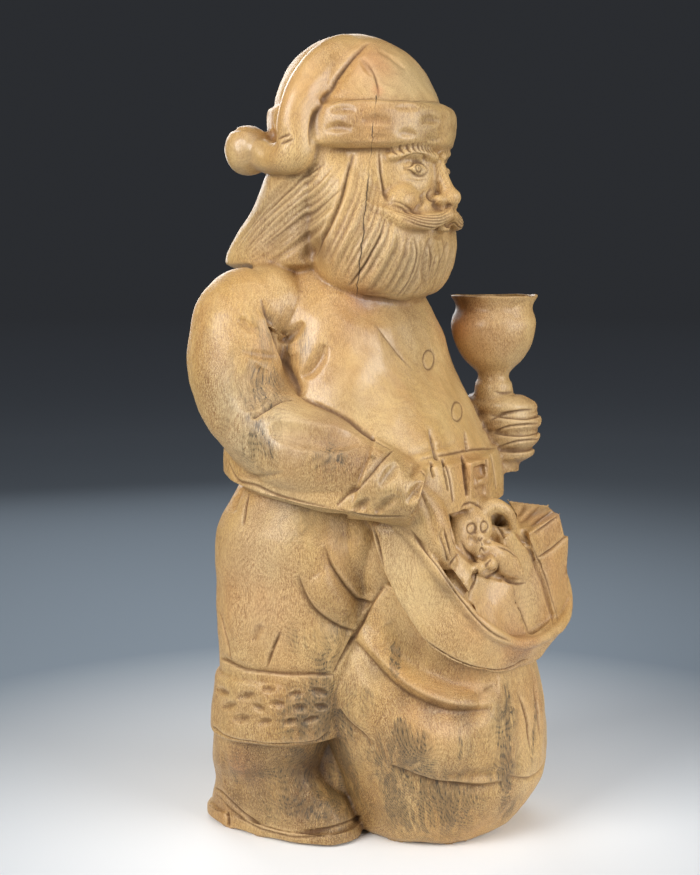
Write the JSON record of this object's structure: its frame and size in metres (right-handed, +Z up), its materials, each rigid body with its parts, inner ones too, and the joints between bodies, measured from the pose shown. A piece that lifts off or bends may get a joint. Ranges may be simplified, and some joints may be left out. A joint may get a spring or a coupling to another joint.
{
  "type": "carved santa figure",
  "caption": "Standing Santa carved in wood, holding up a goblet and reaching into an open sack of toys; stands on its own weight as an ornament.",
  "frame": {"origin": "under the middle of the figure's box, on the surface it stands on", "axes": "+Z up, the figure faces -Y, its right hand is towards -X"},
  "size_m": [0.269, 0.2512, 0.6],
  "materials": {
    "waxed_wood": "satin wax over open-pored wood, darker in the cuts"
  },
  "bodies": {
    "root": {"santa_figure": "waxed_wood"}
  },
  "joints": []
}
